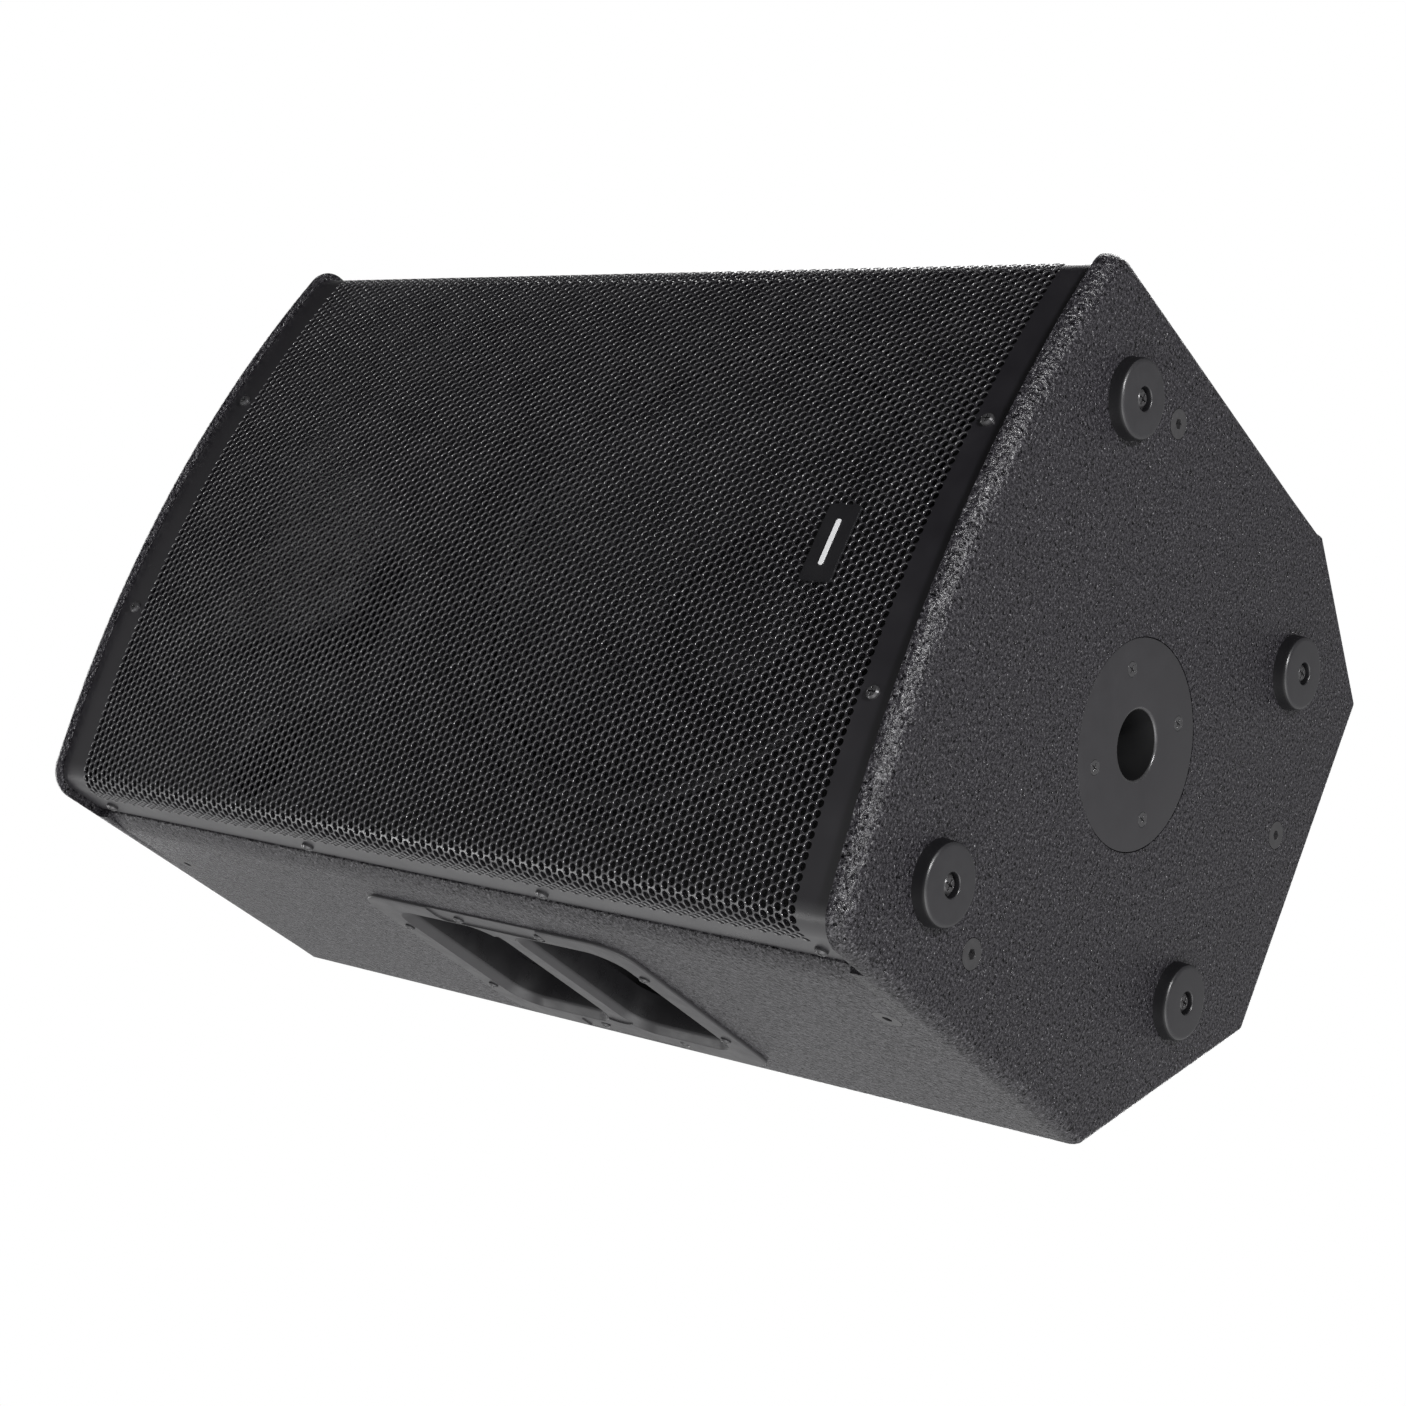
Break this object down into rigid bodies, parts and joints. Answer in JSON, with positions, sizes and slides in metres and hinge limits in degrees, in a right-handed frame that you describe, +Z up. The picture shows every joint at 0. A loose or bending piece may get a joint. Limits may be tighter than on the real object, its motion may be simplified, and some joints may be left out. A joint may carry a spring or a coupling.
{
  "type": "pa speaker cabinet",
  "caption": "Two-way powered PA loudspeaker cabinet with bowed steel grille, bar handle, pole socket, rubber feet and a 45-degree face for use as a floor monitor.",
  "frame": {"origin": "centre of the pole socket's mouth, on the outer face of the bottom panel", "axes": "+X to the right seen from the grille, +Y from the grille to the back, +Z up the cabinet's height; the bar handle is on the -X side"},
  "size_m": [0.3836, 0.386, 0.611],
  "materials": {
    "coating": "pebbled sprayed polyurea coating, charcoal",
    "plywood": "birch plywood, front face stained black",
    "wadding": "polyester fleece",
    "grille_steel": "semi-gloss black powder coat on perforated steel",
    "badge": "satin black plate with a plain light bar",
    "screw_black": "black zinc, satin",
    "zinc_steel": "bright zinc plate",
    "handle_plastic": "satin dark grey moulded plastic",
    "socket_plastic": "satin dark grey",
    "foot_rubber": "satin black rubber",
    "basket_metal": "black stamped steel",
    "gasket": "black cork-rubber",
    "ferrite": "sintered grey",
    "spider_cloth": "resin-treated cotton",
    "surround": "doped cloth, black",
    "cone_paper": "black pressed pulp",
    "dust_cap": "black pressed pulp",
    "copper": "enamelled copper wire on a polyimide former",
    "horn_plastic": "black ABS",
    "titanium": "thin titanium foil",
    "amp_metal": "black powder-coated aluminium plate",
    "heat_sink": "black anodised",
    "socket_black": "black moulded",
    "circuit_board": "green solder mask",
    "transformer": "yellow polyester tape over the windings",
    "knob": "soft-touch black",
    "switch": "black",
    "cable": "PVC-covered copper"
  },
  "bodies": {
    "cabinet": {"bottom_panel": "coating", "top_panel": "coating", "side_panel_handle": "coating", "side_panel_plain": "coating", "wedge_panel_45": "coating", "wedge_panel_60": "coating", "back_panel": "coating", "front_baffle": "plywood", "brace_shelf": "plywood", "grille_rails": "plywood", "amp_ledge_frame": "plywood", "wadding": "wadding", "grille": "grille_steel", "grille_badge": "badge", "grille_screws": "screw_black", "side_handle": "handle_plastic", "handle_screws": "screw_black", "pole_socket": "socket_plastic", "pole_socket_screws": "screw_black", "foot_front_left": "foot_rubber", "foot_front_right": "foot_rubber", "foot_rear_left": "foot_rubber", "foot_rear_right": "foot_rubber", "foot_screws": "screw_black", "rigging_bolts": "screw_black", "rigging_nuts": "zinc_steel", "woofer_basket": "basket_metal", "woofer_gasket": "gasket", "woofer_top_plate": "zinc_steel", "woofer_magnet": "ferrite", "woofer_pole_yoke": "zinc_steel", "woofer_spider": "spider_cloth", "woofer_surround": "surround", "woofer_screws": "screw_black", "horn": "horn_plastic", "horn_screws": "screw_black", "hf_front_plate": "zinc_steel", "hf_magnet": "ferrite", "hf_rear_plate": "zinc_steel", "hf_rear_cover": "horn_plastic", "hf_phase_plug": "horn_plastic", "hf_driver_bolts": "screw_black", "port_tubes": "horn_plastic", "amp_plate": "amp_metal", "amp_heat_sink": "heat_sink", "amp_sockets": "socket_black", "amp_boards": "circuit_board", "amp_transformer": "transformer", "amp_plate_screws": "screw_black", "speaker_wiring": "cable"},
    "woofer_moving": {"woofer_cone": "cone_paper", "woofer_dust_cap": "dust_cap", "woofer_voice_coil": "copper"},
    "hf_moving": {"hf_diaphragm": "titanium"},
    "knob_line_level": {"knob_line_level": "knob"},
    "knob_mic_level": {"knob_mic_level": "knob"},
    "knob_bass": {"knob_bass": "knob"},
    "knob_treble": {"knob_treble": "knob"},
    "power_rocker": {"power_rocker": "switch"},
    "push_button": {"push_button": "switch"}
  },
  "joints": [
    {"name": "woofer_travel", "type": "slide", "parent": "cabinet", "child": "woofer_moving", "axis": [0, 1, 0], "range_m": [-0.004, 0.004]},
    {"name": "hf_travel", "type": "slide", "parent": "cabinet", "child": "hf_moving", "axis": [0, 1, 0], "range_m": [-0.0004, 0.0004]},
    {"name": "line_level_turn", "type": "hinge", "parent": "cabinet", "child": "knob_line_level", "pos_m": [-0.019, 0.184, 0.313], "axis": [0, 1, 0], "range_deg": [-150, 150]},
    {"name": "mic_level_turn", "type": "hinge", "parent": "cabinet", "child": "knob_mic_level", "pos_m": [0.013, 0.184, 0.313], "axis": [0, 1, 0], "range_deg": [-150, 150]},
    {"name": "bass_turn", "type": "hinge", "parent": "cabinet", "child": "knob_bass", "pos_m": [0.045, 0.184, 0.313], "axis": [0, 1, 0], "range_deg": [-150, 150]},
    {"name": "treble_turn", "type": "hinge", "parent": "cabinet", "child": "knob_treble", "pos_m": [0.077, 0.184, 0.313], "axis": [0, 1, 0], "range_deg": [-150, 150]},
    {"name": "power_rocker_tilt", "type": "hinge", "parent": "cabinet", "child": "power_rocker", "pos_m": [-0.009, 0.179, 0.191], "axis": [-1, 0, 0], "range_deg": [0, 14]},
    {"name": "push_button_press", "type": "slide", "parent": "cabinet", "child": "push_button", "axis": [0, -1, 0], "range_m": [0, 0.0015]}
  ]
}
